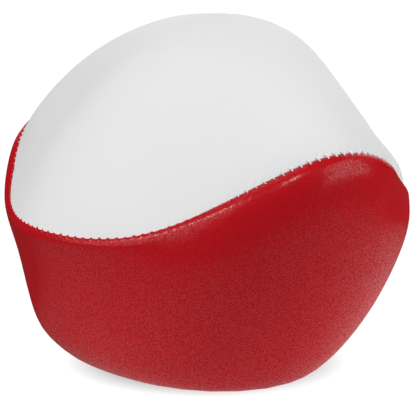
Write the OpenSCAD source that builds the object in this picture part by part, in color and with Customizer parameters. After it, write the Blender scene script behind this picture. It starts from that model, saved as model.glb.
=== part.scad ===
// Two-panel footbag: a white and a red oval of soft leatherette, sewn edge to edge
// a quarter turn apart with the seam allowances turned inwards, and filled with plastic pellets.
// Z is up and the bag rests on the flat of the red panel at Z = 0. The seam line dips at the ends
// of the white panel, along X, and crests at the ends of the red panel, along Y.

/* [Seam line] */
// Half width of the seam line along X, through its two dips
seam_half_x = 25.8; // [24:0.1:28]
// Half width of the seam line along Y, through its two crests
seam_half_y = 28.1; // [26:0.1:31]
// Half width of the seam line on its diagonals
seam_half_diag = 25.4; // [24:0.1:28]
// Height of the seam line at its two dips
seam_dip_h = 20.9; // [18:0.1:23]
// Height of the seam line at its two crests
seam_crest_h = 32; // [29:0.1:34]
// Height of the seam line on its diagonals
seam_diag_h = 23.9; // [21:0.1:26]

/* [White panel] */
// Height of the crown above the rest face
crown_h = 45.6; // [44:0.1:50]
// Lean of the crown along X
crown_lean_x = 1.5; // [-3:0.1:3]
// Lean of the crown along Y
crown_lean_y = -0.2; // [-3:0.1:3]
// Slope of the panel where it leaves the dips, in degrees up from level and outwards
white_slope_dip = 112; // [100:1:120]
// Slope of the panel where it leaves the crests
white_slope_crest = 123; // [110:1:130]
// Share of the panel's span over which it keeps its slope at the dips
white_hold_dip = 0.31; // [0.2:0.01:0.4]
// Share of the panel's span over which it keeps its slope at the crests
white_hold_crest = 0.23; // [0.15:0.01:0.3]
// Radius of the top of the crown
crown_radius = 20.2; // [16:0.1:24]

/* [Red panel] */
// Half width of the flat that the bag rests on, along X
flat_half_x = 10.4; // [8:0.1:13]
// Half width of the flat that the bag rests on, along Y
flat_half_y = 16.3; // [13:0.1:19]
// Shift of the flat along X, against the crown's lean
flat_shift_x = -1.6; // [-3:0.1:3]
// Shift of the flat along Y, against the crown's lean
flat_shift_y = 0.8; // [-3:0.1:3]
// Slope of the panel where it leaves the dips, in degrees down from level and outwards
red_slope_dip = 118; // [100:1:122]
// Slope of the panel where it leaves the crests, as a shelf below the seam line
red_slope_crest = 2; // [0:1:40]
// Share of the panel's span over which it keeps its slope at the dips
red_hold_dip = 0.27; // [0.15:0.01:0.35]
// Share of the panel's span over which it keeps its slope at the crests
red_hold_crest = 0.19; // [0.15:0.01:0.3]
// Reach of the round from the flat up to the side, as a share of the overhang
flat_round = 0.62; // [0.45:0.01:0.7]

/* [Leatherette] */
// Thickness of the leatherette
wall = 1; // [0.8:0.05:1.2]
// Width of the seam allowance that is turned inwards
allowance = 3.5; // [2.6:0.1:4.5]
// Reach of the rolled edge on each side of the seam line
roll = 1.2; // [0.9:0.05:1.5]
// Gap between the two turned edges
edge_gap = 0.1; // [0.06:0.01:0.2]

/* [Thread] */
// Diameter of the sewing thread
thread_d = 0.3; // [0.25:0.05:0.4]
// Number of stitches round the whole seam
stitches = 144; // [110:1:160]
// Number of those stitches that close the filling gap by hand
closing_stitches = 18; // [12:1:26]
// Angle of the middle of the filling gap from X, at the back of the bag
closing_angle = 57; // [40:1:75]
// Half width of a stitch, from the seam line to its middle in the leatherette
stitch_bite = 0.6; // [0.5:0.05:0.75]
// Depth that a stitch reaches below the seam line
stitch_depth = 1.5; // [1.3:0.05:2]
// Diameter of the end knots
knot_d = 1.1; // [0.8:0.1:1.4]

/* [Pellets] */
// Size of one pellet across its corners
pellet_size = 5.6; // [5:0.1:7]
// Height up to which the pellets fill the bag
fill_h = 40; // [30:1:42]
// Least gap around a pellet
pellet_gap = 0.2; // [0.15:0.05:0.5]

/* [Hidden] */

white_colour = [0.93, 0.93, 0.94];
red_colour = [0.65, 0.08, 0.1];
thread_colour = [0.96, 0.96, 0.94];
pellet_colour = [0.8, 0.84, 0.86];

meridians = 72;
panel_rows = 9;
roll_steps = [0.25, 0.5, 0.75];
angles = [for (i = [0 : meridians - 1]) i * 360 / meridians];
angle_step = 0.5;
up = [0, 0, 1];
crown = [crown_lean_x, crown_lean_y, crown_h];
flat_middle = [flat_shift_x, flat_shift_y, 0];

function unit(v) = v / norm(v);
function out(a) = [cos(a), sin(a), 0];

// A value that swings from the dips along X to the crests along Y
function swing(dip, crest, a) = (dip + crest) / 2 + (dip - crest) / 2 * cos(2 * a);

// The same, through a third value on the diagonals
function swing3(dip, crest, diag, a) =
    let (mean = (dip + crest) / 2)
    swing(dip, crest, a) + (mean - diag) / 2 * (cos(4 * a) - 1);

function seam(a) =
    swing3(seam_half_x, seam_half_y, seam_half_diag, a) * out(a)
    + swing3(seam_dip_h, seam_crest_h, seam_diag_h, a) * up;

// Directions at the seam: along it, of each panel leaving it, inwards, and across to the white side
function along(a) = unit(seam(a + angle_step) - seam(a - angle_step));
function white_leave(a) =
    let (slope = swing(white_slope_dip, white_slope_crest, a))
    cos(slope) * out(a) + sin(slope) * up;
function red_leave(a) =
    let (slope = swing(red_slope_dip, red_slope_crest, a))
    cos(slope) * out(a) - sin(slope) * up;
function inwards(a) =
    -unit(unit(cross(along(a), white_leave(a))) + unit(cross(red_leave(a), along(a))));
function across(a) = unit(cross(along(a), inwards(a)));

// Four control points of the curve that a panel follows from the seam to its middle.
// The breadth of the crown is the one that gives every curve the same radius at the top.
function white_curve(a) =
    let (
        start = seam(a),
        hold = swing(white_hold_dip, white_hold_crest, a) * norm(crown - start),
        held = start + hold * white_leave(a),
        breadth = sqrt(2 / 3 * crown_radius * (crown_h - held.z))
    )
    [start, held, crown + breadth * out(a), crown];
function red_curve(a) =
    let (
        start = seam(a),
        rim_r = swing(flat_half_x, flat_half_y, a),
        rim = flat_middle + rim_r * out(a),
        hold = swing(red_hold_dip, red_hold_crest, a) * norm(rim - start),
        reach = flat_round * (norm([start.x, start.y]) - rim_r)
    )
    [start, start + hold * red_leave(a), rim + reach * out(a), rim];
function panel_curve(side, a) = side > 0 ? white_curve(a) : red_curve(a);

function on_curve(p, t) =
    pow(1 - t, 3) * p[0] + 3 * pow(1 - t, 2) * t * p[1] + 3 * (1 - t) * t * t * p[2] + t * t * t * p[3];
function curve_slope(p, t) =
    (1 - t) * (1 - t) * (p[1] - p[0]) + 2 * (1 - t) * t * (p[2] - p[1]) + t * t * (p[3] - p[2]);

// Outer face of a panel (side 1 is white, -1 is red) and the way out from it
function face_at(side, a, t) = on_curve(panel_curve(side, a), t);
function face_normal(side, a, t) =
    let (round_it = face_at(side, a + angle_step, t) - face_at(side, a - angle_step, t))
    side * unit(cross(round_it, curve_slope(panel_curve(side, a), t)));

// Where the roll begins, and the rows from there to the panel's middle, closer at both ends
function roll_start(side, a) =
    let (p = panel_curve(side, a))
    roll / (3 * norm(p[1] - p[0]));
function row_at(side, a, i) =
    let (start = roll_start(side, a))
    start + (1 - start) * (1 - cos(180 * i / panel_rows)) / 2;

// One meridian of a panel: outer face, rolled edge, turned allowance, then back along the inner face
function meridian(side, a) =
    let (
        last_row = side > 0 ? panel_rows - 1 : panel_rows,
        leave = side > 0 ? white_leave(a) : red_leave(a),
        in = inwards(a),
        away = side * across(a),
        edge = seam(a) + edge_gap / 2 * away,
        roll_top = face_at(side, a, roll_start(side, a)),
        roll_end = edge + roll * in,
        tip = edge + allowance * in,
        half_angle = acos(leave * in) / 2,
        inner_corner = edge + wall / sin(half_angle) * unit(leave + in)
    )
    concat(
        [for (i = [last_row : -1 : 0]) face_at(side, a, row_at(side, a, i))],
        [for (s = roll_steps) pow(1 - s, 2) * roll_top + 2 * s * (1 - s) * edge + s * s * roll_end],
        [roll_end, tip, tip + wall * away, inner_corner],
        [
            for (i = [1 : last_row])
                let (t = row_at(side, a, i))
                face_at(side, a, t) - wall * face_normal(side, a, t)
        ]
    );
function reversed(v) = [for (i = [len(v) - 1 : -1 : 0]) v[i]];

// A closed solid from meridians that run from a first pole to a last one
module closed_shell(first_pole, columns, last_pole) {
    n = len(columns[0]);
    count = len(columns);
    first = count * n;
    last = first + 1;
    function at(i, j) = (j % count) * n + i;
    points = concat([for (c = columns) each c], [first_pole, last_pole]);
    caps = [
        for (j = [0 : count - 1])
            each [[first, at(0, j + 1), at(0, j)], [last, at(n - 1, j), at(n - 1, j + 1)]]
    ];
    walls = [
        for (j = [0 : count - 1], i = [0 : n - 2])
            each [[at(i, j), at(i, j + 1), at(i + 1, j + 1)], [at(i, j), at(i + 1, j + 1), at(i + 1, j)]]
    ];
    polyhedron(points = points, faces = concat(caps, walls));
}

module white_panel() {
    color(white_colour)
        closed_shell(crown, [for (a = angles) meridian(1, a)], crown - wall * up);
}

module red_panel() {
    color(red_colour)
        closed_shell(
            flat_middle + wall * up,
            [for (a = angles) reversed(meridian(-1, a))],
            flat_middle
        );
}

// Angle round the bag at a distance along the seam
angle_of_run = [
    for (a = 0, run = 0; a <= 360; run = run + norm(seam(a + angle_step) - seam(a)), a = a + angle_step)
        [run, a]
];
run_of_angle = [for (m = angle_of_run) [m[1], m[0]]];
seam_len = lookup(360, run_of_angle);
function seam_angle(run) = lookup(run - seam_len * floor(run / seam_len), angle_of_run);

// A point beside the seam: x across to the white side, y inwards
function beside_seam(run, x, y) =
    let (a = seam_angle(run))
    seam(a) + x * across(a) + y * inwards(a);

// How steeply the two edges slope inwards beside the seam: a ridge at the dips, a groove at the crests
function edge_slant(a) =
    let (in = inwards(a), leave = white_leave(a))
    leave * in / norm(cross(leave, in));

// A whip stitch: each turn crosses the groove, dives into the far edge and comes back through the near one.
// It follows the slant of the edges. Hand 1 starts in the white edge and -1 in the red one.
stitch_points = 6;
stitch_mid = 0.45 * stitch_depth;
stitch_half = stitch_depth - stitch_mid;
function stitch_point(run, turn, hand) =
    let (
        x = stitch_bite * cos(turn),
        y = stitch_mid - stitch_half * sin(turn)
    )
    beside_seam(run, hand * x, y + abs(x) * edge_slant(seam_angle(run)));

// An end knot inside the bag, behind the seam allowance: [place along it, share of its radius]
knot_shape = [[-1, 0.3], [-0.7, 0.75], [0, 1], [0.7, 0.75], [1, 0.3]];
knot_x = edge_gap / 2 + wall + knot_d / 2;
knot_y = 0.6 * allowance;
function knot_point(run, hand, place) = beside_seam(run, hand * (knot_x - place * knot_d / 2), knot_y);

// The stations of one thread: [point, radius, way along the seam]
function knot_stations(run, hand, shape) = [
    for (k = shape)
        [knot_point(run, hand, k[0]), k[1] * knot_d / 2, along(seam_angle(run))]
];
function thread_stations(from, count, hand) =
    concat(
        knot_stations(from, hand, knot_shape),
        [
            for (i = [0 : count * stitch_points])
                let (run = from + i * stitch_pitch / stitch_points)
                [stitch_point(run, i * 360 / stitch_points, hand), thread_d / 2, along(seam_angle(run))]
        ],
        knot_stations(from + count * stitch_pitch, hand, reversed(knot_shape))
    );

// A round tube through stations
tube_sides = 4;
module tube(stations) {
    count = len(stations);
    function way(i) =
        unit(stations[min(i + 1, count - 1)][0] - stations[max(i - 1, 0)][0]);
    rings = [
        for (i = [0 : count - 1])
            let (
                w = way(i),
                side = unit(stations[i][2] - (stations[i][2] * w) * w),
                other = cross(w, side)
            )
            for (j = [0 : tube_sides - 1])
                let (turn = j * 360 / tube_sides)
                stations[i][0] + stations[i][1] * (cos(turn) * side + sin(turn) * other)
    ];
    function at(i, j) = i * tube_sides + j % tube_sides;
    walls = [
        for (i = [0 : count - 2], j = [0 : tube_sides - 1])
            each [[at(i, j), at(i + 1, j), at(i + 1, j + 1)], [at(i, j), at(i + 1, j + 1), at(i, j + 1)]]
    ];
    start_cap = [for (j = [0 : tube_sides - 1]) at(0, j)];
    end_cap = [for (j = [tube_sides - 1 : -1 : 0]) at(count - 1, j)];
    polyhedron(points = rings, faces = concat(walls, [start_cap, end_cap]));
}

// The machine-sewn run starts where the hand-sewn closing run ends, and the other way round
stitch_pitch = seam_len / stitches;
closing_mid = round(lookup(closing_angle, run_of_angle) / stitch_pitch);
closing_from = stitch_pitch * (closing_mid - floor(closing_stitches / 2));
main_from = closing_from + stitch_pitch * closing_stitches;
main_hand = 1;
closing_hand = -1;

module main_seam_thread() {
    color(thread_colour) tube(thread_stations(main_from, stitches - closing_stitches, main_hand));
}

module closing_seam_thread() {
    color(thread_colour) tube(thread_stations(closing_from, closing_stitches, closing_hand));
}

// A cut granule with its edges worn: half its profile, within a ball of pellet_size
pellet_r = pellet_size / 2;
pellet_end = 61;
pellet_side = 28;
pellet_rim = [
    for (turn = [-pellet_end, -pellet_side, pellet_side, pellet_end])
        pellet_r * [cos(turn), sin(turn)]
];
pellet_half_h = pellet_r * sin(pellet_end);
pellet_profile = concat([[0, -pellet_half_h]], pellet_rim, [[0, pellet_half_h]]);

// Places on the panels' outer faces, with the way out, that the pellets keep clear of
mark_rows = 14;
wall_marks = [
    for (side = [1, -1], i = [0 : 2 : meridians - 1], row = [1 : mark_rows - 1])
        let (t = row / mark_rows)
        [face_at(side, angles[i], t), face_normal(side, angles[i], t)]
];
allowance_marks = [for (a = angles) [seam(a), inwards(a), across(a)]];
knots = [for (run = [closing_from, main_from], hand = [main_hand, closing_hand]) knot_point(run, hand, 0)];
pellet_clear = pellet_r + pellet_gap;

function nearest(values) = search(min(values), values)[0];
function clear_of_walls(p) =
    let (mark = wall_marks[nearest([for (m = wall_marks) norm(m[0] - p)])])
    (mark[0] - p) * mark[1] > wall + pellet_clear && p.z > wall + pellet_clear;
function clear_of_allowance(p) =
    let (
        mark = allowance_marks[nearest([for (m = allowance_marks) norm(m[0] + allowance * m[1] - p)])],
        x = abs((p - mark[0]) * mark[2]),
        y = (p - mark[0]) * mark[1]
    )
    x > edge_gap / 2 + wall + pellet_clear || y > allowance + pellet_clear;
function clear_of_knots(p) = min([for (k = knots) norm(k - p)]) > knot_d / 2 + pellet_clear;

// Close-packed layers of pellets
lattice = pellet_size + pellet_gap;
row_step = lattice * sqrt(3) / 2;
layer_step = lattice * sqrt(2 / 3);
first_layer = wall + pellet_clear + pellet_gap;
layers = floor((fill_h - pellet_r - first_layer) / layer_step);
lattice_reach = ceil((seam_half_y + roll) / row_step) + 1;
pellet_places = [
    for (k = [0 : layers], j = [-lattice_reach : lattice_reach], i = [-lattice_reach : lattice_reach])
        let (p = [
            lattice * (i + abs(j % 2) / 2 + (k % 2) / 2),
            row_step * (j + (k % 2) / 3),
            first_layer + k * layer_step
        ])
        if (clear_of_walls(p) && clear_of_allowance(p) && clear_of_knots(p)) p
];

module pellet() {
    rotate_extrude($fn = 24) polygon(pellet_profile);
}

module pellet_fill() {
    tumble = 73;
    turn = 137;
    color(pellet_colour)
        for (i = [0 : len(pellet_places) - 1])
            translate(pellet_places[i]) rotate([i * tumble, 0, i * turn]) pellet();
}

white_panel();
red_panel();
main_seam_thread();
closing_seam_thread();
pellet_fill();
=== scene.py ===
import math

import bpy
import numpy as np
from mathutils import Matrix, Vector, noise


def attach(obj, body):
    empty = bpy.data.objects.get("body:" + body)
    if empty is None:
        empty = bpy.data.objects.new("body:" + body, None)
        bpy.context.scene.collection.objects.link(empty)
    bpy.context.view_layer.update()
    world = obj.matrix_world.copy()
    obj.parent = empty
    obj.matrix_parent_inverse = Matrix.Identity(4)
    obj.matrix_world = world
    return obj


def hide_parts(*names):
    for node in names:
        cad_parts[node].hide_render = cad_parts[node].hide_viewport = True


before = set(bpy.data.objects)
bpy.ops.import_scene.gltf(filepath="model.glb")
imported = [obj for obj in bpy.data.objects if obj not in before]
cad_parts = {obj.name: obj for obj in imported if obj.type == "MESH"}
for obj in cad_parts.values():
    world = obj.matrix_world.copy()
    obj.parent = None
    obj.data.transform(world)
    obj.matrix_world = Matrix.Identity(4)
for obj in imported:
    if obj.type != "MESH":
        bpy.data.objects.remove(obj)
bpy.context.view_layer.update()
mm = 0.001
print("frame loaded:", ", ".join(sorted(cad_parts)))

# Sizes of the bag in millimetres, degrees and shares, the same as in the part's source.
# A pair is the value at the seam's two dips, along X, and at its two crests, along Y.
bagShape = {
    "seamHalf": (25.8, 28.1),
    "seamHalfDiagonal": 25.4,
    "seamHeight": (20.9, 32.0),
    "seamHeightDiagonal": 23.9,
    "wall": 1.0,
    "allowance": 3.5,  # width of the edge that is turned inwards
    "edgeGap": 0.02,
    "stitches": 144,
}
up = np.array([0.0, 0.0, 1.0])
angleStep = math.radians(0.5)


def unit(v):
    return v / np.linalg.norm(v, axis=-1, keepdims=True)


def dot(v, w):
    return (v * w).sum(-1, keepdims=True)


def outward(angle):
    return np.stack([np.cos(angle), np.sin(angle), np.zeros_like(angle)], -1)


# a value that swings from the dips to the crests, and may pass through a third one between them
def swing(pair, angle, diagonal=None):
    dip, crest = pair
    middle = (dip + crest) / 2
    value = middle + (dip - crest) / 2 * np.cos(2 * angle)
    if diagonal is not None:
        value = value + (middle - diagonal) / 2 * (np.cos(4 * angle) - 1)
    return value[:, None]


def seamPoint(angle):
    half = swing(bagShape["seamHalf"], angle, bagShape["seamHalfDiagonal"])
    height = swing(bagShape["seamHeight"], angle, bagShape["seamHeightDiagonal"])
    return half * outward(angle) + height * up


def alongSeam(angle):
    return unit(seamPoint(angle + angleStep) - seamPoint(angle - angleStep))


# the way in which a panel leaves the seam
def leaving(panel, angle):
    slope = np.radians(swing(panel["slope"], angle))
    return np.cos(slope) * outward(angle) + panel["side"] * np.sin(slope) * up


# into the bag, halfway between the two panels
def inwards(angle):
    along = alongSeam(angle)
    whiteOut = unit(np.cross(along, leaving(whitePanel, angle)))
    redOut = unit(np.cross(leaving(redPanel, angle), along))
    return -unit(whiteOut + redOut)


# across the seam, towards the white panel
def acrossSeam(angle):
    return unit(np.cross(alongSeam(angle), inwards(angle)))


# how steeply both edges slope inwards beside the seam: a ridge at the dips, a groove at the crests
def edgeSlant(angle):
    leave = leaving(whitePanel, angle)
    inward = inwards(angle)
    return dot(leave, inward)[:, 0] / np.linalg.norm(np.cross(leave, inward), axis=1)


seamAngles = np.linspace(0, 2 * math.pi, 1441)
seamSteps = np.linalg.norm(np.diff(seamPoint(seamAngles), axis=0), axis=1)
seamRuns = np.concatenate([[0], np.cumsum(seamSteps)])
seamLength = seamRuns[-1]
stitchPitch = seamLength / bagShape["stitches"]


def angleAtRun(run):
    return np.interp(run % seamLength, seamRuns, seamAngles)


print(f"seam line {seamLength:.1f} mm long, a stitch every {stitchPitch:.2f} mm")

# The two panels. Edge moves are in millimetres.
whitePanel = {
    "side": 1,
    "middle": (1.5, -0.2, 45.6),
    "slope": (112, 123),
    "hold": (0.31, 0.23),
    "crownRadius": 20.2,
    "roll": 0.12,        # reach of the rolled edge
    "rollHold": 0.02,    # distance from the seam line where its round is centred
    "sink": 0.04,        # depth at which the two edges meet
    "puff": (0.0, 0.0),  # how far the edge swells out beside the seam
    "tension": 0.03,     # how far a stitch pulls the edge in
    "needleMark": 0.02,  # depth of the dimple where the thread goes in
    "needleAway": 0.45,  # its distance from the seam line
    "seed": 3.1,
}
redPanel = {
    "side": -1,
    "middle": (-1.6, 0.8, 0.0),
    "flatHalf": (10.4, 16.3),  # of the flat that the bag rests on
    "flatRound": 0.62,         # of the round above it, as a share of the overhang
    "slope": (118, 2),
    "hold": (0.27, 0.19),
    "roll": 0.6,
    "rollHold": 0.25,
    "sink": 0.08,
    "puff": (0.75, 0.06),
    "tension": 0.08,
    "needleMark": 0.05,
    "needleAway": 0.4,
    "seed": 7.7,
}
# How the sewing and the fill shape both panels
softness = {
    "toothRise": (0.2, 0.1),  # the red edge rises between the white lobes at each stitch
    "toothWidth": 0.15,   # share of the stitch pitch
    "toothReach": 0.5,
    "tensionReach": 0.8,
    "tensionWidth": 0.3,  # share of the stitch pitch
    "markReach": 0.16,    # size of a needle mark away from the seam
    "markWidth": 0.1,     # and along it, as a share of the stitch pitch
    "markShift": 0.08,    # such a share, before the stitch on the white side and after it on the red one
    "variety": 0.35,      # share by which stitches differ from each other
    "varietySteps": (2.4, 5.3),
    "puckerRise": 0.05,
    "puckerLength": 4.5,
    "puckerReach": 6.0,
    "edgePull": 0.12,     # how far the thread draws the seam in
    "edgePullReach": 2.5,
    "puffWidth": 1.1,     # of the round at a swollen edge
    "puffFade": 5.0,
    "freeHeight": 4.0,    # height over the surface below where the cover moves freely
}
# how far a stitch leads along the seam below the edges, and lags above them, from 0 to 1
underLead = 0.7
rungPhase = 0.25 - underLead / (2 * math.pi)  # where in its pitch a stitch crosses the seam line
# Where the slack cover has settled on its fill, with its seam: how far outwards and upwards it moved there,
# and how far this reaches round the bag and upwards
settledSpots = (
    {"middle": (-19.4, 14.4, 13.9), "move": (-0.8, 0.0), "reach": (11.0, 5.5)},
    {"middle": (-16.8, 12.4, 4.2), "move": (0.45, 0.0), "reach": (10.0, 3.5)},
    {"middle": (-20.8, 15.4, 20.5), "move": (0.25, 0.0), "reach": (8.0, 4.0)},
    {"middle": (-15.1, 11.2, 37.0), "move": (-0.2, -0.12), "reach": (10.0, 7.0)},
    {"middle": (13.7, -10.2, 36.9), "move": (-0.45, 0.0), "reach": (11.0, 6.0)},
    {"middle": (-12.2, 20.3, 31.5), "move": (0.8, 0.0), "reach": (7.0, 4.5)},
    {"middle": (-8.5, 26.5, 31.0), "move": (0.3, -1.2), "reach": (7.0, 5.0)},
    {"middle": (-1.0, -27.7, 31.5), "move": (0.0, 0.3), "reach": (7.0, 3.0)},
    {"middle": (13.0, -25.0, 25.8), "move": (-0.9, -0.1), "reach": (8.0, 3.2)},
    {"middle": (16.0, -21.0, 24.0), "move": (-0.3, 0.0), "reach": (5.0, 2.2)},
    {"middle": (19.6, -14.6, 26.1), "move": (1.4, -0.1), "reach": (7.5, 3.2)},
    {"middle": (21.3, -15.8, 18.5), "move": (0.2, 0.0), "reach": (7.0, 3.5)},
    {"middle": (9.4, -7.0, 42.5), "move": (0.2, 0.25), "reach": (8.0, 6.0)},
    {"middle": (0.5, -0.4, 45.0), "move": (0.0, -0.3), "reach": (9.0, 8.0)},
)


# four control points of the curve that a panel follows from the seam to its middle
def panelCurve(panel, angle):
    start = seamPoint(angle)
    end = np.array(panel["middle"]) + np.zeros_like(start)
    if "flatHalf" in panel:
        end = end + swing(panel["flatHalf"], angle) * outward(angle)
    hold = swing(panel["hold"], angle) * np.linalg.norm(end - start, axis=1, keepdims=True)
    held = start + hold * leaving(panel, angle)
    if "flatHalf" in panel:
        overhang = np.linalg.norm(start[:, :2], axis=1, keepdims=True) - swing(panel["flatHalf"], angle)
        breadth = panel["flatRound"] * overhang
    else:
        breadth = np.sqrt(2 / 3 * panel["crownRadius"] * (end - held)[:, 2:])
    return start, held, end + breadth * outward(angle), end


def facePoint(panel, angle, t):
    a, b, c, d = panelCurve(panel, angle)
    return (1 - t) ** 3 * a + 3 * (1 - t) ** 2 * t * b + 3 * (1 - t) * t ** 2 * c + t ** 3 * d


def faceNormal(panel, angle, t):
    tStep = 0.002
    roundIt = facePoint(panel, angle + angleStep, t) - facePoint(panel, angle - angleStep, t)
    upIt = facePoint(panel, angle, t + tStep) - facePoint(panel, angle, t - tStep)
    return panel["side"] * unit(np.cross(roundIt, upIt))


normalEnds = (0.003, 0.985)  # normals are taken between these shares of a panel's curve


def rollStart(panel, angle):
    a, b, _, _ = panelCurve(panel, angle)
    return panel["roll"] / (3 * np.linalg.norm(b - a, axis=1, keepdims=True))


# Perlin noise at points in millimetres, with features of the given size
def softNoise(points, size, seed):
    shift = Vector((seed * 17.3, seed * 5.1, seed * 9.7))
    return np.array([noise.noise(Vector(p) / size + shift) for p in points])[:, None]


# nearness to the rung of the nearest stitch, 1 at the rung, with each stitch a little different
def stitchNearness(run, phase, width, seed):
    place = run / stitchPitch - phase
    number = np.round(place)
    off = place - number
    first, second = softness["varietySteps"]
    strength = 1 + softness["variety"] * np.sin(number * first + seed) * np.cos(number * second + seed)
    return (strength * np.exp(-(off / width) ** 2))[:, None]


# moves points of a panel's outer side for the sewing and the fill
def soften(panel, run, points, normals, fromSeam, depth):
    angle = angleAtRun(run)
    tooth = stitchNearness(run, rungPhase, softness["toothWidth"], 0.4)
    shared = np.exp(-fromSeam / softness["toothReach"])
    points = points + acrossSeam(angle) * tooth * swing(softness["toothRise"], angle) * shared
    pull = stitchNearness(run, rungPhase, softness["tensionWidth"], panel["seed"])
    pull = pull * np.exp(-(fromSeam / softness["tensionReach"]) ** 2)
    points = points - normals * pull * panel["tension"] * depth
    markPhase = rungPhase - softness["markShift"] * panel["side"]
    mark = stitchNearness(run, markPhase, softness["markWidth"], panel["seed"] + 2)
    mark = mark * np.exp(-((fromSeam - panel["needleAway"]) / softness["markReach"]) ** 2)
    points = points - normals * mark * panel["needleMark"] * depth
    return points


# how freely points move, so that nothing goes through the surface below
def freedom(points):
    return np.clip(points[:, 2:] / softness["freeHeight"], 0, 1)


# moves points with the cover where it has settled
def settled(points):
    moved = points.copy()
    free = freedom(points)
    for spot in settledSpots:
        middle = np.array(spot["middle"])
        outwards, upwards = spot["move"]
        roundIt, upIt = spot["reach"]
        off = points - middle
        far = (off[:, 2:] / upIt) ** 2 + (dot(off[:, :2], off[:, :2]) / roundIt ** 2)
        move = outwards * unit(middle * (1, 1, 0)) + upwards * up
        moved += free * np.exp(-far) * move
    return moved


# height of a panel's edge over the seam that is drawn in, as a quarter round that flattens out
def edgeRise(panel, run, fromSeam):
    slack = 1 - np.clip(fromSeam / softness["puffWidth"], 0, 1)
    fade = np.exp(-np.clip(fromSeam - softness["puffWidth"], 0, None) / softness["puffFade"])
    drawn = softness["edgePull"] * np.exp(-fromSeam / softness["edgePullReach"])
    return swing(panel["puff"], angleAtRun(run)) * np.sqrt(1 - slack ** 2) * fade - drawn


# the filled cover's swell from the simulation, and puckers that fade away from the seam
def settle(panel, run, points, normals, fromSeam, swell):
    seamAt = seamPoint(angleAtRun(run))
    fade = np.exp(-fromSeam / softness["puckerReach"])
    pucker = softNoise(seamAt, softness["puckerLength"], panel["seed"]) * softness["puckerRise"] * fade
    return points + normals * freedom(points) * (edgeRise(panel, run, fromSeam) + pucker + swell)


# Mesh of a panel: rings of points round the seam, halved in number with distance from it
panelMesh = {
    "pointsPerStitch": 12,
    "faceRows": 36,
    "rowSpread": 1.7,        # rows stand closer together near the seam
    "halveAt": (9, 13, 18, 24, 31, 35),
    "rollRows": 9,
    "flatRows": (0.66, 0.33),
    "innerRows": (0.1, 0.25, 0.5, 0.75, 0.92),
    "fewestPoints": 27,
}


def ringRuns(count):
    return np.arange(count) * seamLength / count


# Cloth simulation of the two covers: a plain copy of each, held where it is sewn, is blown up by the fill
clothRun = {
    "roundPoints": 216,
    "rows": 18,
    "rowSpread": 1.2,
    "scale": 10.0,         # the copy is larger than life, where the simulation runs more steadily
    "inset": 0.35,         # it starts this far inside the fitted face
    "pressure": 12.0,
    "unevenness": 0.6,     # share by which the pellets press harder in some places than in others
    "unevenSize": 9.0,
    "stiffness": 20.0,
    "bending": 8.0,
    "frames": 20,
    "quality": 6,
    "crownShare": 0.97,    # share of the white panel's curve where the last row of the copy lies
    "fittedWaves": 5,      # fewer waves than this round a ring come from the fitted face, not from the cloth
    "cap": 0.3,            # most that a point may end up away from the fitted face
}


# where the simulated copy ends: at the flat of the red panel, and just beside the crown of the white one
def lastShare(panel):
    return 1.0 if "flatHalf" in panel else clothRun["crownShare"]


def simulateSwell(panel):
    count = clothRun["roundPoints"]
    rows = clothRun["rows"]
    angle = angleAtRun(ringRuns(count))
    fitted = []
    normals = []
    insets = []
    for row in range(rows + 1):
        share = row / rows
        t = np.full((count, 1), lastShare(panel) * share ** clothRun["rowSpread"])
        fitted.append(facePoint(panel, angle, t))
        normals.append(faceNormal(panel, angle, np.clip(t, *normalEnds)))
        held = math.sin(math.pi * share) if "flatHalf" in panel else math.sin(math.pi / 2 * share)
        insets.append(np.full((count, 1), clothRun["inset"] * held))
    fitted = np.concatenate(fitted)
    normals = np.concatenate(normals)
    points = list((fitted - normals * np.concatenate(insets)) * clothRun["scale"])
    faces = []
    for row in range(rows):
        start = row * count
        faces += ringFaces(fitted[:count], fitted[:count], start, start + count)
    sewn = list(range(count))
    if "flatHalf" in panel:
        sewn += range(rows * count, (rows + 1) * count)
    else:
        crown = np.array(panel["middle"]) - up * clothRun["inset"]
        points.append(crown * clothRun["scale"])
        for j in range(count):
            faces.append((rows * count + j, rows * count + (j + 1) % count, len(points) - 1))
    if panel["side"] < 0:
        faces = [face[::-1] for face in faces]
    copy = meshObject("cloth_copy", points, faces)
    copy.vertex_groups.new(name="sewn").add(sewn, 1.0, "REPLACE")
    fill = copy.vertex_groups.new(name="fill")
    push = softNoise(fitted, clothRun["unevenSize"], panel["seed"] + 1)[:, 0]
    pressing = 1 - clothRun["unevenness"] * (0.5 + push)
    for number, weight in enumerate(pressing):
        fill.add([number], float(np.clip(weight, 0, 1)), "REPLACE")
    cloth = copy.modifiers.new("swell", "CLOTH")
    cloth.settings.quality = clothRun["quality"]
    cloth.settings.tension_stiffness = clothRun["stiffness"]
    cloth.settings.compression_stiffness = clothRun["stiffness"]
    cloth.settings.bending_stiffness = clothRun["bending"]
    cloth.settings.use_pressure = True
    cloth.settings.uniform_pressure_force = clothRun["pressure"]
    cloth.settings.vertex_group_pressure = "fill"
    cloth.settings.vertex_group_mass = "sewn"
    cloth.settings.effector_weights.gravity = 0
    cloth.point_cache.frame_end = clothRun["frames"]
    for step in range(1, clothRun["frames"] + 1):
        bpy.context.scene.frame_set(step)
    grown = copy.evaluated_get(bpy.context.evaluated_depsgraph_get()).data
    ends = np.array([v.co[:] for v in grown.vertices])[:len(fitted)] / (mm * clothRun["scale"])
    swell = dot(ends - fitted, normals)[:, 0]
    bpy.context.scene.frame_set(1)
    mesh = copy.data
    bpy.data.objects.remove(copy)
    bpy.data.meshes.remove(mesh)
    waves = np.fft.rfft(swell.reshape(rows + 1, count), axis=1)
    waves[:, :clothRun["fittedWaves"]] = 0
    uneven = np.fft.irfft(waves, count, axis=1)
    print(f"cloth simulated: {uneven.min():.2f} to {uneven.max():.2f} mm of unevenness")
    return np.clip(uneven, -clothRun["cap"], clothRun["cap"])


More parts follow.
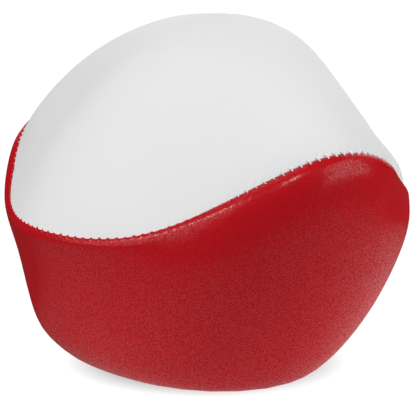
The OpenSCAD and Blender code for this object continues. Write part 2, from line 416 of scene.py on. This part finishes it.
# swell at places along the seam and shares of the way from it, between the points of the simulated copy
def swellAt(panel, run, t):
    grid = panel["swell"]
    rows = len(grid) - 1
    count = grid.shape[1]
    place = run % seamLength / seamLength * count
    height = rows * (np.clip(t[:, 0] / lastShare(panel), 0, 1)) ** (1 / clothRun["rowSpread"])
    j = place.astype(int)
    i = np.minimum(height.astype(int), rows - 1)
    across = place - j
    upward = height - i
    low = grid[i, j % count] * (1 - across) + grid[i, (j + 1) % count] * across
    high = grid[i + 1, j % count] * (1 - across) + grid[i + 1, (j + 1) % count] * across
    return (low * (1 - upward) + high * upward)[:, None]


# rings of the outer face, from the rolled edge to the panel's middle
def outerRings(panel):
    count = bagShape["stitches"] * panelMesh["pointsPerStitch"]
    rings = []
    lastRow = panelMesh["faceRows"] - (1 if panel["side"] > 0 else 0)
    for row in range(lastRow + 1):
        if row in panelMesh["halveAt"]:
            count //= 2
        run = ringRuns(count)
        angle = angleAtRun(run)
        start = rollStart(panel, angle)
        t = start + (1 - start) * (row / panelMesh["faceRows"]) ** panelMesh["rowSpread"]
        points = facePoint(panel, angle, t)
        normals = faceNormal(panel, angle, np.clip(t, *normalEnds))
        fromSeam = np.linalg.norm(points - seamPoint(angle), axis=1, keepdims=True)
        points = settle(panel, run, points, normals, fromSeam, swellAt(panel, run, t))
        rings.append(settled(soften(panel, run, points, normals, fromSeam, 1.0)))
    if "flatHalf" in panel:
        for share in panelMesh["flatRows"]:
            rings.append(np.array(panel["middle"]) + (rings[-1] - panel["middle"]) * share)
    return rings


# rings of the rolled edge and the turned allowance, from the face to the tip
def edgeRings(panel):
    count = bagShape["stitches"] * panelMesh["pointsPerStitch"]
    run = ringRuns(count)
    angle = angleAtRun(run)
    side = panel["side"]
    along = alongSeam(angle)
    inward = inwards(angle)
    edge = seamPoint(angle) + side * bagShape["edgeGap"] / 2 * acrossSeam(angle)
    rollTop = facePoint(panel, angle, rollStart(panel, angle))
    rollHold = edge + panel["rollHold"] * leaving(panel, angle)
    rollEnd = edge + panel["sink"] * inward
    faceOut = faceNormal(panel, angle, rollStart(panel, angle))
    fromTop = np.linalg.norm(rollTop - seamPoint(angle), axis=1, keepdims=True)
    rings = []
    for row in range(1, panelMesh["rollRows"] + 1):
        s = row / panelMesh["rollRows"]
        points = (1 - s) ** 2 * rollTop + 2 * s * (1 - s) * rollHold + s * s * rollEnd
        tangent = (1 - s) * (rollHold - rollTop) + s * (rollEnd - rollHold)
        normals = side * unit(np.cross(tangent, along))
        points = settle(panel, run, points, faceOut, fromTop * (1 - s), 0)
        rings.append(settled(soften(panel, run, points, normals, fromTop * (1 - s), 1 - s)))
    tip = settled(edge + bagShape["allowance"] * inward)
    return rings, tip, edge


# rings of the hidden side, from the tip of the allowance back to the middle
def innerRings(panel, tip, edge):
    rings = [tip]
    count = len(tip) // 2
    wall = bagShape["wall"]
    rings.append(tip[::2] + panel["side"] * wall * acrossSeam(angleAtRun(ringRuns(count))))
    count //= 2
    angle = angleAtRun(ringRuns(count))
    leave = leaving(panel, angle)
    inward = inwards(angle)
    halfAngle = np.arccos(dot(leave, inward)) / 2
    rings.append(edge[::4] + wall / np.sin(halfAngle) * unit(leave + inward))
    for share in panelMesh["innerRows"]:
        count = max(count // 2, panelMesh["fewestPoints"])
        angle = angleAtRun(ringRuns(count))
        t = rollStart(panel, angle)
        t = t + (1 - t) * share
        rings.append(facePoint(panel, angle, t) - wall * faceNormal(panel, angle, t))
    return rings


# faces between two neighbouring rings, where the second has as many points as the first or half
def ringFaces(first, second, firstStart, secondStart):
    count = len(first)
    faces = []
    if len(second) == count:
        for j in range(count):
            k = (j + 1) % count
            faces.append((firstStart + j, firstStart + k, secondStart + k, secondStart + j))
        return faces
    for j in range(0, count, 2):
        middle = firstStart + j + 1
        last = firstStart + (j + 2) % count
        near = secondStart + j // 2
        far = secondStart + (j // 2 + 1) % len(second)
        faces += [(firstStart + j, middle, near), (middle, far, near), (middle, last, far)]
    return faces


def addSide(points, faces, rings, pole, flip):
    starts = []
    for ring in rings:
        starts.append(len(points))
        points.extend(ring)
    made = []
    for i in range(len(rings) - 1):
        made += ringFaces(rings[i], rings[i + 1], starts[i], starts[i + 1])
    count = len(rings[-1])
    points.append(pole)
    for j in range(count):
        made.append((starts[-1] + j, starts[-1] + (j + 1) % count, len(points) - 1))
    faces += [face[::-1] for face in made] if flip else made
    return starts[0]


def meshObject(name, points, faces):
    mesh = bpy.data.meshes.new(name)
    mesh.from_pydata([tuple(p) for p in np.array(points) * mm], [], faces)
    mesh.validate()
    mesh.shade_smooth()
    piece = bpy.data.objects.new(name, mesh)
    bpy.context.scene.collection.objects.link(piece)
    return piece


def makePanel(name, panel):
    rolled, tip, edge = edgeRings(panel)
    outer = outerRings(panel)
    middle = np.array(panel["middle"])
    points = []
    faces = []
    red = panel["side"] < 0
    outerStart = addSide(points, faces, outer, middle, red)
    innerMiddle = middle - panel["side"] * up * bagShape["wall"]
    tipStart = addSide(points, faces, innerRings(panel, tip, edge), innerMiddle, not red)
    chain = [outer[0]] + rolled
    starts = [outerStart]
    for ring in rolled:
        starts.append(len(points))
        points.extend(ring)
    chain.append(tip)
    starts.append(tipStart)
    for i in range(len(chain) - 1):
        made = ringFaces(chain[i], chain[i + 1], starts[i], starts[i + 1])
        faces += made if red else [face[::-1] for face in made]
    return meshObject(name, points, faces)


whitePanel["swell"] = simulateSwell(whitePanel)
redPanel["swell"] = simulateSwell(redPanel)
whiteCover = makePanel("white_cover", whitePanel)
redCover = makePanel("red_cover", redPanel)
print(f"panels made: {len(whiteCover.data.polygons)} and {len(redCover.data.polygons)} faces")

# The sewing thread: two plies twisted round each other along a whip stitch
threadLook = {
    "plyRadius": 0.075,
    "plyOffset": 0.058,    # of each ply from the thread's middle
    "twistLength": 0.6,    # thread length in one turn of the plies
    "plySides": 7,
    "pointsPerStitch": 20,
    "biteWhite": 0.42,     # reach of a stitch into each panel
    "biteRed": 0.54,
    "depth": 1.5,
    "rise": 0.13,          # height of a stitch above the seam line
    "redDip": 0.15,        # how steeply it goes down on the red side
    "buried": 0.32,        # how much deeper the stitches lie at the dips than at the crests
    "swayAcross": 0.35,    # how much stitches differ across the seam, and in depth
    "swayDeep": 0.06,
    "knotSize": 1.1,
    "knotSteps": (1.0, 0.6, 0.1),  # places of its three points, in knot sizes from the wall
    "knotAt": 0.6,         # depth of the knots, as a share of the allowance
    "knotThickness": 2.8,  # in thread thicknesses
    "seed": 5,
}
closingRun = {"stitches": 18, "angle": 57}  # the gap left for filling, sewn up last by hand


# middle of the thread at places along the seam; hand 1 starts in the white edge and -1 in the red one
def stitchPath(run, turn, hand, sway):
    angle = angleAtRun(run)
    reach = (threadLook["biteWhite"] + threadLook["biteRed"]) / 2
    shift = (threadLook["biteWhite"] - threadLook["biteRed"]) / 2
    middle = (threadLook["depth"] - threadLook["rise"]) / 2
    half = (threadLook["depth"] + threadLook["rise"]) / 2
    x = shift + hand * reach * np.cos(turn) * (1 + threadLook["swayAcross"] * sway)
    y = middle - half * np.sin(turn) * (1 + threadLook["swayDeep"] * sway)
    y = y + np.abs(x) * edgeSlant(angle) + threadLook["redDip"] * np.clip(-x, 0, None)
    y = y + swing((threadLook["buried"], 0), angle)[:, 0] + softness["edgePull"]
    return seamPoint(angle) + x[:, None] * acrossSeam(angle) + y[:, None] * inwards(angle)


def knotPath(run, hand):
    angle = angleAtRun(np.full(3, run))
    steps = threadLook["knotSize"] * np.array(threadLook["knotSteps"])
    x = hand * (bagShape["edgeGap"] / 2 + bagShape["wall"] + steps)
    y = threadLook["knotAt"] * bagShape["allowance"]
    return seamPoint(angle) + x[:, None] * acrossSeam(angle) + y * inwards(angle)


def addTube(points, faces, middles, sideways, radius):
    sides = threadLook["plySides"]
    way = unit(np.gradient(middles, axis=0))
    across = unit(sideways - dot(sideways, way) * way)
    other = np.cross(way, across)
    start = len(points)
    for j in range(sides):
        turn = 2 * math.pi * j / sides
        points.extend(middles + radius[:, None] * (math.cos(turn) * across + math.sin(turn) * other))
    count = len(middles)
    for j in range(sides):
        k = (j + 1) % sides
        for i in range(count - 1):
            faces.append((start + j * count + i, start + k * count + i,
                          start + k * count + i + 1, start + j * count + i + 1))
    faces.append([start + j * count for j in range(sides)][::-1])
    faces.append([start + j * count + count - 1 for j in range(sides)])


def makeThread(name, fromRun, stitches, hand):
    perStitch = threadLook["pointsPerStitch"]
    index = np.arange(stitches * perStitch + 1)
    turn = index * 2 * math.pi / perStitch
    run = fromRun + stitchPitch / (2 * math.pi) * (turn + underLead * (np.cos(turn) - 1))
    draws = np.random.default_rng(threadLook["seed"]).uniform(-1, 1, stitches + 1)
    sway = np.interp(index / perStitch, np.arange(stitches + 1), draws)
    middles = settled(np.concatenate([
        knotPath(fromRun, hand),
        stitchPath(run, turn, hand, sway),
        knotPath(fromRun + stitches * stitchPitch, hand)[::-1],
    ]))
    runs = np.concatenate([np.full(3, run[0]), run, np.full(3, run[-1])])
    sideways = alongSeam(angleAtRun(runs))
    length = np.concatenate([[0], np.cumsum(np.linalg.norm(np.diff(middles, axis=0), axis=1))])
    way = unit(np.gradient(middles, axis=0))
    across = unit(sideways - dot(sideways, way) * way)
    other = np.cross(way, across)
    thick = np.ones(len(middles))
    thick[[1, -2]] = threadLook["knotThickness"]
    points = []
    faces = []
    for ply in (0, 1):
        twist = (2 * math.pi * length / threadLook["twistLength"] + math.pi * ply)[:, None]
        offset = threadLook["plyOffset"] * thick[:, None] * (np.cos(twist) * across + np.sin(twist) * other)
        addTube(points, faces, middles + offset, sideways, threadLook["plyRadius"] * thick)
    return meshObject(name, points, faces)


closingMiddle = round(np.interp(math.radians(closingRun["angle"]), seamAngles, seamRuns) / stitchPitch)
closingFrom = stitchPitch * (closingMiddle - closingRun["stitches"] // 2)
mainFrom = closingFrom + stitchPitch * closingRun["stitches"]
mainThread = makeThread("main_thread", mainFrom, bagShape["stitches"] - closingRun["stitches"], 1)
closingThread = makeThread("closing_thread", closingFrom, closingRun["stitches"], -1)
print(f"threads made: {len(mainThread.data.polygons)} and {len(closingThread.data.polygons)} faces")


# Materials
def newMaterial(name):
    material = bpy.data.materials.new(name)
    material.use_nodes = True
    tree = material.node_tree
    tree.nodes.clear()
    output = tree.nodes.new("ShaderNodeOutputMaterial")
    shader = tree.nodes.new("ShaderNodeBsdfPrincipled")
    tree.links.new(shader.outputs["BSDF"], output.inputs["Surface"])
    return material, tree, shader


def addNode(tree, kind, values=None, **settings):
    node = tree.nodes.new(kind)
    for name, value in settings.items():
        setattr(node, name, value)
    for name, value in (values or {}).items():
        node.inputs[name].default_value = value
    return node


# Fine pressed grain of leatherette, shared by both panels
grainLook = {
    "pebblesPerMetre": 4600.0,
    "pebbleSmoothness": 0.6,
    "moundEdges": (0.05, 0.7),   # from a pebble's top to its foot
    "creaseFineness": 2.3,       # scale of the creases against the pebbles
    "creaseShare": 0.55,         # of the grain's height
    "poreDepth": 0.7,
    "patchesPerMetre": 120.0,
    "patchTones": (0.3, 0.7),    # of the noise, from the smoothest patch to the roughest
    "topHeight": 1.25,           # where the skin has its full weight
}


def grainGroup():
    group = bpy.data.node_groups.new("leatheretteGrain", "ShaderNodeTree")
    face = group.interface
    starts = (
        ("Pebbles Per Metre", grainLook["pebblesPerMetre"]),
        ("Pore Depth", grainLook["poreDepth"]),
        ("Patches Per Metre", grainLook["patchesPerMetre"]),
    )
    for name, start in starts:
        socket = face.new_socket(name, in_out="INPUT", socket_type="NodeSocketFloat")
        socket.default_value = start
    for name in ("Height", "Pores", "Patches"):
        face.new_socket(name, in_out="OUTPUT", socket_type="NodeSocketFloat")
    link = group.links.new
    given = group.nodes.new("NodeGroupInput")
    result = group.nodes.new("NodeGroupOutput")
    place = group.nodes.new("ShaderNodeTexCoord")
    pebbles = addNode(group, "ShaderNodeTexVoronoi", feature="SMOOTH_F1")
    pebbles.inputs["Smoothness"].default_value = grainLook["pebbleSmoothness"]
    link(place.outputs["Object"], pebbles.inputs["Vector"])
    link(given.outputs["Pebbles Per Metre"], pebbles.inputs["Scale"])
    finer = addNode(group, "ShaderNodeMath", {1: grainLook["creaseFineness"]}, operation="MULTIPLY")
    link(given.outputs["Pebbles Per Metre"], finer.inputs[0])
    creases = addNode(group, "ShaderNodeTexNoise", {"Detail": 3.0, "Roughness": 0.6})
    link(place.outputs["Object"], creases.inputs["Vector"])
    link(finer.outputs[0], creases.inputs["Scale"])
    top, foot = grainLook["moundEdges"]
    rounding = {"From Min": top, "From Max": foot, "To Min": 1.0, "To Max": 0.0}
    mound = addNode(group, "ShaderNodeMapRange", rounding, interpolation_type="SMOOTHSTEP")
    link(pebbles.outputs["Distance"], mound.inputs["Value"])
    height = addNode(group, "ShaderNodeMath", {1: grainLook["creaseShare"]}, operation="MULTIPLY_ADD")
    link(creases.outputs[0], height.inputs[0])
    link(mound.outputs["Result"], height.inputs[2])
    link(height.outputs[0], result.inputs["Height"])
    pores = addNode(group, "ShaderNodeMath", operation="SUBTRACT")
    pores.inputs[0].default_value = 1.0
    link(mound.outputs["Result"], pores.inputs[1])
    deep = addNode(group, "ShaderNodeMath", operation="MULTIPLY")
    link(pores.outputs[0], deep.inputs[0])
    link(given.outputs["Pore Depth"], deep.inputs[1])
    link(deep.outputs[0], result.inputs["Pores"])
    patches = addNode(group, "ShaderNodeTexNoise", {"Detail": 2.0, "Roughness": 0.5})
    link(place.outputs["Object"], patches.inputs["Vector"])
    link(given.outputs["Patches Per Metre"], patches.inputs["Scale"])
    link(patches.outputs[0], result.inputs["Patches"])
    return group


whiteFinish = {
    "base": (0.8, 0.8, 0.805, 1),
    "pore": (0.785, 0.785, 0.79, 1),
    "roughness": (0.5, 0.62),
    "grainStrength": 0.03,
    "grainDepth": 0.02,
    "specular": 0.25,
    "skin": (0.0, 0.0),
    "skinRoughness": 0.3,
}
redFinish = {
    "base": (0.49, 0.0085, 0.0145, 1),
    "pore": (0.455, 0.006, 0.01, 1),
    "roughness": (0.4, 0.5),
    "grainStrength": 0.5,
    "grainDepth": 0.05,
    "specular": 0.0,
    "skin": (0.0, 0.72),    # weight of the glossy skin in the grain's pores and on its tops
    "skinRoughness": 0.24,
}


def leatherette(name, finish, group):
    material, tree, shader = newMaterial(name)
    link = tree.links.new
    grain = addNode(tree, "ShaderNodeGroup", node_tree=group)
    colour = addNode(tree, "ShaderNodeMix", data_type="RGBA")
    colour.inputs["A"].default_value = finish["base"]
    colour.inputs["B"].default_value = finish["pore"]
    link(grain.outputs["Pores"], colour.inputs["Factor"])
    link(colour.outputs["Result"], shader.inputs["Base Color"])
    low, high = finish["roughness"]
    smooth, coarse = grainLook["patchTones"]
    spread = {"From Min": smooth, "From Max": coarse, "To Min": low, "To Max": high}
    rough = addNode(tree, "ShaderNodeMapRange", spread)
    link(grain.outputs["Patches"], rough.inputs["Value"])
    link(rough.outputs["Result"], shader.inputs["Roughness"])
    relief = {"Strength": finish["grainStrength"], "Distance": finish["grainDepth"] * mm}
    bump = addNode(tree, "ShaderNodeBump", relief)
    link(grain.outputs["Height"], bump.inputs["Height"])
    link(bump.outputs["Normal"], shader.inputs["Normal"])
    shader.inputs["Specular IOR Level"].default_value = finish["specular"]
    pored, topped = finish["skin"]
    gloss = {"From Min": 0.0, "From Max": grainLook["topHeight"], "To Min": pored, "To Max": topped}
    skin = addNode(tree, "ShaderNodeMapRange", gloss)
    link(grain.outputs["Height"], skin.inputs["Value"])
    link(skin.outputs["Result"], shader.inputs["Coat Weight"])
    shader.inputs["Coat Roughness"].default_value = finish["skinRoughness"]
    return material


threadFinish = {
    "base": (0.86, 0.86, 0.85, 1),
    "shade": (0.66, 0.66, 0.67, 1),
    "fibresPerMetre": 9000.0,
    "fibreStrength": 0.3,
    "fibreDepth": 0.02,
    "roughness": 0.7,
    "sheen": 0.25,
}


def sewingThread(name):
    material, tree, shader = newMaterial(name)
    link = tree.links.new
    place = tree.nodes.new("ShaderNodeTexCoord")
    fibres = addNode(tree, "ShaderNodeTexNoise", {"Scale": threadFinish["fibresPerMetre"], "Detail": 4.0})
    link(place.outputs["Object"], fibres.inputs["Vector"])
    colour = addNode(tree, "ShaderNodeMix", data_type="RGBA")
    colour.inputs["A"].default_value = threadFinish["shade"]
    colour.inputs["B"].default_value = threadFinish["base"]
    link(fibres.outputs[0], colour.inputs["Factor"])
    link(colour.outputs["Result"], shader.inputs["Base Color"])
    relief = {"Strength": threadFinish["fibreStrength"], "Distance": threadFinish["fibreDepth"] * mm}
    bump = addNode(tree, "ShaderNodeBump", relief)
    link(fibres.outputs[0], bump.inputs["Height"])
    link(bump.outputs["Normal"], shader.inputs["Normal"])
    shader.inputs["Roughness"].default_value = threadFinish["roughness"]
    shader.inputs["Sheen Weight"].default_value = threadFinish["sheen"]
    return material


pelletFinish = {
    "base": (0.62, 0.68, 0.72, 1),
    "clouded": (0.75, 0.79, 0.81, 1),
    "cloudsPerMetre": 700.0,
    "cloudStrength": 0.2,
    "cloudDepth": 0.1,
    "roughness": 0.45,
}


def pelletPlastic(name):
    material, tree, shader = newMaterial(name)
    link = tree.links.new
    place = tree.nodes.new("ShaderNodeTexCoord")
    clouds = addNode(tree, "ShaderNodeTexNoise", {"Scale": pelletFinish["cloudsPerMetre"], "Detail": 3.0})
    link(place.outputs["Object"], clouds.inputs["Vector"])
    colour = addNode(tree, "ShaderNodeMix", data_type="RGBA")
    colour.inputs["A"].default_value = pelletFinish["base"]
    colour.inputs["B"].default_value = pelletFinish["clouded"]
    link(clouds.outputs[0], colour.inputs["Factor"])
    link(colour.outputs["Result"], shader.inputs["Base Color"])
    relief = {"Strength": pelletFinish["cloudStrength"], "Distance": pelletFinish["cloudDepth"] * mm}
    bump = addNode(tree, "ShaderNodeBump", relief)
    link(clouds.outputs[0], bump.inputs["Height"])
    link(bump.outputs["Normal"], shader.inputs["Normal"])
    shader.inputs["Roughness"].default_value = pelletFinish["roughness"]
    return material


grain = grainGroup()
threadMaterial = sewingThread("whiteSewingThread")
whiteCover.data.materials.append(leatherette("whiteLeatherette", whiteFinish, grain))
redCover.data.materials.append(leatherette("redLeatherette", redFinish, grain))
mainThread.data.materials.append(threadMaterial)
closingThread.data.materials.append(threadMaterial)
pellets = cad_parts["pellet_fill"]
pellets.data.materials.clear()
pellets.data.materials.append(pelletPlastic("pelletPlastic"))
print("materials set")

# What each piece stands for
pieceTable = (
    (whiteCover, "white_panel", "white_leatherette"),
    (redCover, "red_panel", "red_leatherette"),
    (mainThread, "main_seam_thread", "white_thread"),
    (closingThread, "closing_seam_thread", "white_thread"),
)
for piece, node, slot in pieceTable:
    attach(piece, "root")
    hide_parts(node)
print("pieces ride on the frame")

# Camera at the photograph's angle. Lengths in millimetres.
photoView = {
    "azimuth": -36.55,
    "elevation": 12.67,
    "distance": 530.8,
    "target": (0.0, 0.0, 21.29),
    "lens": 356.0,
    "sensor": 36.0,
    "nearest": 10.0,
    "shift": (0.0051, -0.0184),
}


# the way from the bag to a place round it
def towards(azimuth, elevation):
    a = math.radians(azimuth)
    e = math.radians(elevation)
    return Vector((math.sin(a) * math.cos(e), -math.cos(a) * math.cos(e), math.sin(e)))


def makeCamera():
    camera = bpy.data.cameras.new("photoCamera")
    camera.lens = photoView["lens"]
    camera.sensor_width = photoView["sensor"]
    camera.shift_x, camera.shift_y = photoView["shift"]
    camera.clip_start = photoView["nearest"] * mm
    holder = bpy.data.objects.new("photoCamera", camera)
    back = towards(photoView["azimuth"], photoView["elevation"])
    holder.location = (Vector(photoView["target"]) + back * photoView["distance"]) * mm
    holder.rotation_euler = (-back).to_track_quat("-Z", "Y").to_euler()
    bpy.context.scene.collection.objects.link(holder)
    bpy.context.scene.camera = holder


makeCamera()

# Studio: a floor that glows in patches, with a painted contact shadow where the camera sees it dimmer round
# the bag, soft boxes, and surroundings that only the camera sees as white.
# Azimuths are to the right of the camera, lengths in millimetres and powers in watts.
studio = {
    "floorHalf": 1500.0,
    "floorColour": (0.06, 0.06, 0.06, 1),
    "floorRoughness": 0.9,
    "floorSpecular": 0.1,
    # light of the floor, near each patch's middle and far from it
    # the first three light the bag, and the camera sees only the last, which is dimmer round the bag as a
    # painted contact shadow
    "floorLight": {
        "left": {"azimuth": -45, "away": 38.0, "reach": (12.0, 46.0), "light": (0.62, 0.0)},
        "right": {"azimuth": 50, "away": 40.0, "reach": (16.0, 58.0), "light": (0.68, 0.0)},
        "farRight": {"azimuth": 112, "away": 46.0, "reach": (10.0, 48.0), "light": (0.65, 0.0)},
        # painted contact shadow: the camera sees the floor's glow at 0.55 within 13.5 mm of the bag's
        # middle, rising to full white by 18.5 mm
        "seen": {"azimuth": 0, "away": 0.0, "reach": (13.5, 18.5), "light": (0.55, 1.0)},
    },
    "surround": 0.0,
    "boxes": {
        "left": {"azimuth": -62, "elevation": 22, "distance": 450, "size": 400, "power": 1.16},
        "leftLamp": {"azimuth": -58, "elevation": 40, "distance": 450, "size": 70, "power": 0.42},
        "right": {"azimuth": 72, "elevation": 22, "distance": 450, "size": 400, "power": 1.56},
        "rightLamp": {"azimuth": 2, "elevation": 50, "distance": 450, "size": 65, "power": 0.46},
        "top": {"azimuth": 0, "elevation": 75, "distance": 450, "size": 300, "power": 0.03},
        "backLeft": {"azimuth": -120, "elevation": 64, "distance": 450, "size": 250, "power": 0.22},
        "back": {"azimuth": 175, "elevation": 12, "distance": 450, "size": 400, "power": 0.9},
        "backRight": {"azimuth": 130, "elevation": 35, "distance": 450, "size": 300, "power": 0.12},
    },
}


def makeFloor():
    half = studio["floorHalf"]
    corners = [(-half, -half, 0), (half, -half, 0), (half, half, 0), (-half, half, 0)]
    floor = meshObject("studio_floor", corners, [(0, 1, 2, 3)])
    material, tree, shader = newMaterial("studioFloor")
    shader.inputs["Base Color"].default_value = studio["floorColour"]
    shader.inputs["Roughness"].default_value = studio["floorRoughness"]
    shader.inputs["Specular IOR Level"].default_value = studio["floorSpecular"]
    place = tree.nodes.new("ShaderNodeTexCoord")
    patches = {}
    for name, patch in studio["floorLight"].items():
        near, far = patch["reach"]
        first, last = patch["light"]
        spread = {"From Min": near * mm, "From Max": far * mm, "To Min": first, "To Max": last}
        patches[name] = addNode(tree, "ShaderNodeMapRange", spread)
        away = addNode(tree, "ShaderNodeVectorMath", operation="DISTANCE")
        way = towards(photoView["azimuth"] + patch["azimuth"], 0)
        away.inputs[1].default_value = way * patch["away"] * mm
        tree.links.new(place.outputs["Object"], away.inputs[0])
        tree.links.new(away.outputs["Value"], patches[name].inputs["Value"])
    glow = patches["left"].outputs["Result"]
    for name in ("right", "farRight"):
        more = addNode(tree, "ShaderNodeMath", operation="ADD")
        tree.links.new(glow, more.inputs[0])
        tree.links.new(patches[name].outputs["Result"], more.inputs[1])
        glow = more.outputs[0]
    # camera rays see the last patch, a glow dimmed round the bag as a painted contact shadow; all other rays
    # get the patches that light the bag
    path = tree.nodes.new("ShaderNodeLightPath")
    light = addNode(tree, "ShaderNodeMix", data_type="RGBA")
    tree.links.new(path.outputs["Is Camera Ray"], light.inputs["Factor"])
    tree.links.new(glow, light.inputs["A"])
    tree.links.new(patches["seen"].outputs["Result"], light.inputs["B"])
    tree.links.new(light.outputs["Result"], shader.inputs["Emission Color"])
    shader.inputs["Emission Strength"].default_value = 1.0
    floor.data.materials.append(material)


def makeSoftBox(name, box):
    light = bpy.data.lights.new(name, "AREA")
    light.shape = "SQUARE"
    light.size = box["size"] * mm
    light.energy = box["power"]
    holder = bpy.data.objects.new(name, light)
    back = towards(photoView["azimuth"] + box["azimuth"], box["elevation"])
    holder.location = (Vector(photoView["target"]) + back * box["distance"]) * mm
    holder.rotation_euler = (-back).to_track_quat("-Z", "Y").to_euler()
    bpy.context.scene.collection.objects.link(holder)


def makeSurround():
    world = bpy.data.worlds.new("studioSurround")
    world.use_nodes = True
    tree = world.node_tree
    tree.nodes.clear()
    link = tree.links.new
    path = tree.nodes.new("ShaderNodeLightPath")
    lit = addNode(tree, "ShaderNodeBackground", {"Color": (1, 1, 1, 1), "Strength": studio["surround"]})
    seen = addNode(tree, "ShaderNodeBackground", {"Color": (1, 1, 1, 1), "Strength": 1.0})
    mix = tree.nodes.new("ShaderNodeMixShader")
    output = tree.nodes.new("ShaderNodeOutputWorld")
    link(path.outputs["Is Camera Ray"], mix.inputs["Fac"])
    link(lit.outputs[0], mix.inputs[1])
    link(seen.outputs[0], mix.inputs[2])
    link(mix.outputs[0], output.inputs["Surface"])
    bpy.context.scene.world = world


makeFloor()
makeSurround()
for boxName, box in studio["boxes"].items():
    makeSoftBox(boxName, box)
bpy.context.scene.view_settings.view_transform = "Standard"
print("camera, floor and lights set")

bpy.context.view_layer.update()
